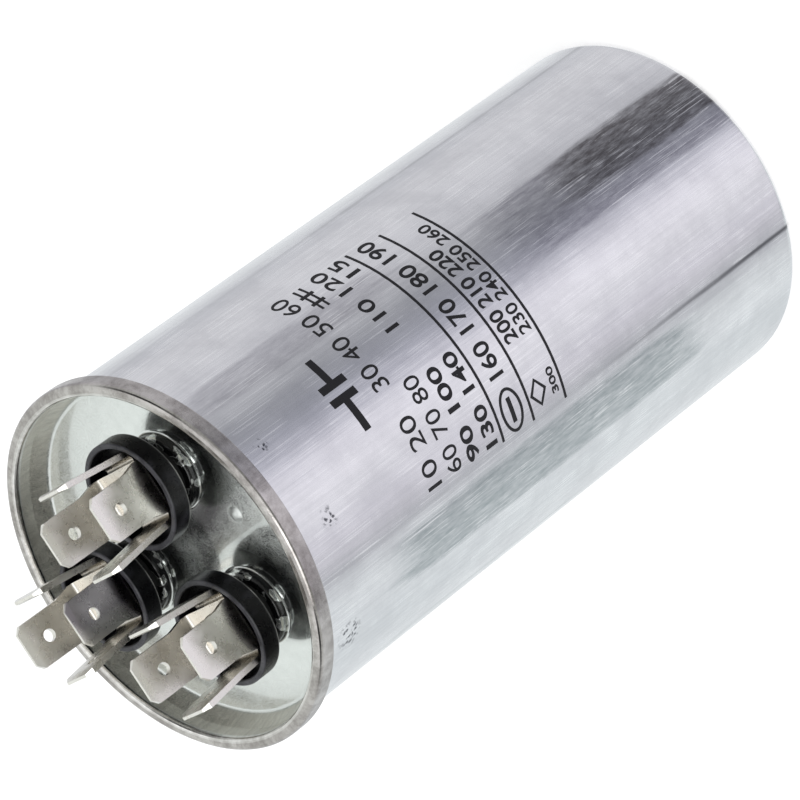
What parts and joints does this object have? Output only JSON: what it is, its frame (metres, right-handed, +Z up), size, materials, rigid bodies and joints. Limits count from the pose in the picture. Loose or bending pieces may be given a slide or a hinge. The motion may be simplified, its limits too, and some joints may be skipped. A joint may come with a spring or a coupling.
{
  "type": "motor run capacitor",
  "caption": "Round oil-filled motor run capacitor: seamed metal can with a recessed lid, black terminal bushings and crossed push-on tabs over two wound film sections.",
  "frame": {"origin": "middle of the closed foot of the can, on the plane it stands on", "axes": "+Z runs up the can's axis to the terminals; -Y is the side that carries the print; X and Y are across the can"},
  "size_m": [0.0522, 0.0522, 0.1123],
  "materials": {
    "can_metal": "drawn, bright, lightly scuffed along its length",
    "lid_metal": "bright tinplate",
    "sealant": "dull",
    "bushing_plastic": "moulded, semi-gloss",
    "gasket_rubber": "dull",
    "insulator_plastic": "moulded",
    "tab_metal": "tin-plated, pressed",
    "rivet_metal": "plated",
    "lead_metal": "drawn wire",
    "sleeve_plastic": "extruded",
    "core_plastic": "extruded",
    "film": "metallised film, wound",
    "wrap_film": "clear film, wound",
    "spray_metal": "sprayed, grainy"
  },
  "bodies": {
    "root": {"can": "can_metal", "lid": "lid_metal", "seam_sealant": "sealant", "bushing_common": "bushing_plastic", "bushing_run": "bushing_plastic", "bushing_fan": "bushing_plastic", "gasket_common": "gasket_rubber", "gasket_run": "gasket_rubber", "gasket_fan": "gasket_rubber", "inner_insulator_common": "insulator_plastic", "inner_insulator_run": "insulator_plastic", "inner_insulator_fan": "insulator_plastic", "lower_tabs_common": "tab_metal", "lower_tabs_run": "tab_metal", "lower_tabs_fan": "tab_metal", "upper_tabs_common": "tab_metal", "upper_tabs_run": "tab_metal", "upper_tabs_fan": "tab_metal", "terminal_rivets": "rivet_metal", "rivet_washers": "rivet_metal", "lead_common": "lead_metal", "lead_run": "lead_metal", "lead_fan": "lead_metal", "lead_sleeves": "sleeve_plastic", "core_tube": "core_plastic", "fan_winding": "film", "section_wrap": "wrap_film", "run_winding": "film", "outer_wrap": "wrap_film", "common_spray": "spray_metal", "fan_spray": "spray_metal", "run_spray": "spray_metal", "bottom_cup": "insulator_plastic", "top_spacer": "insulator_plastic"}
  },
  "joints": []
}
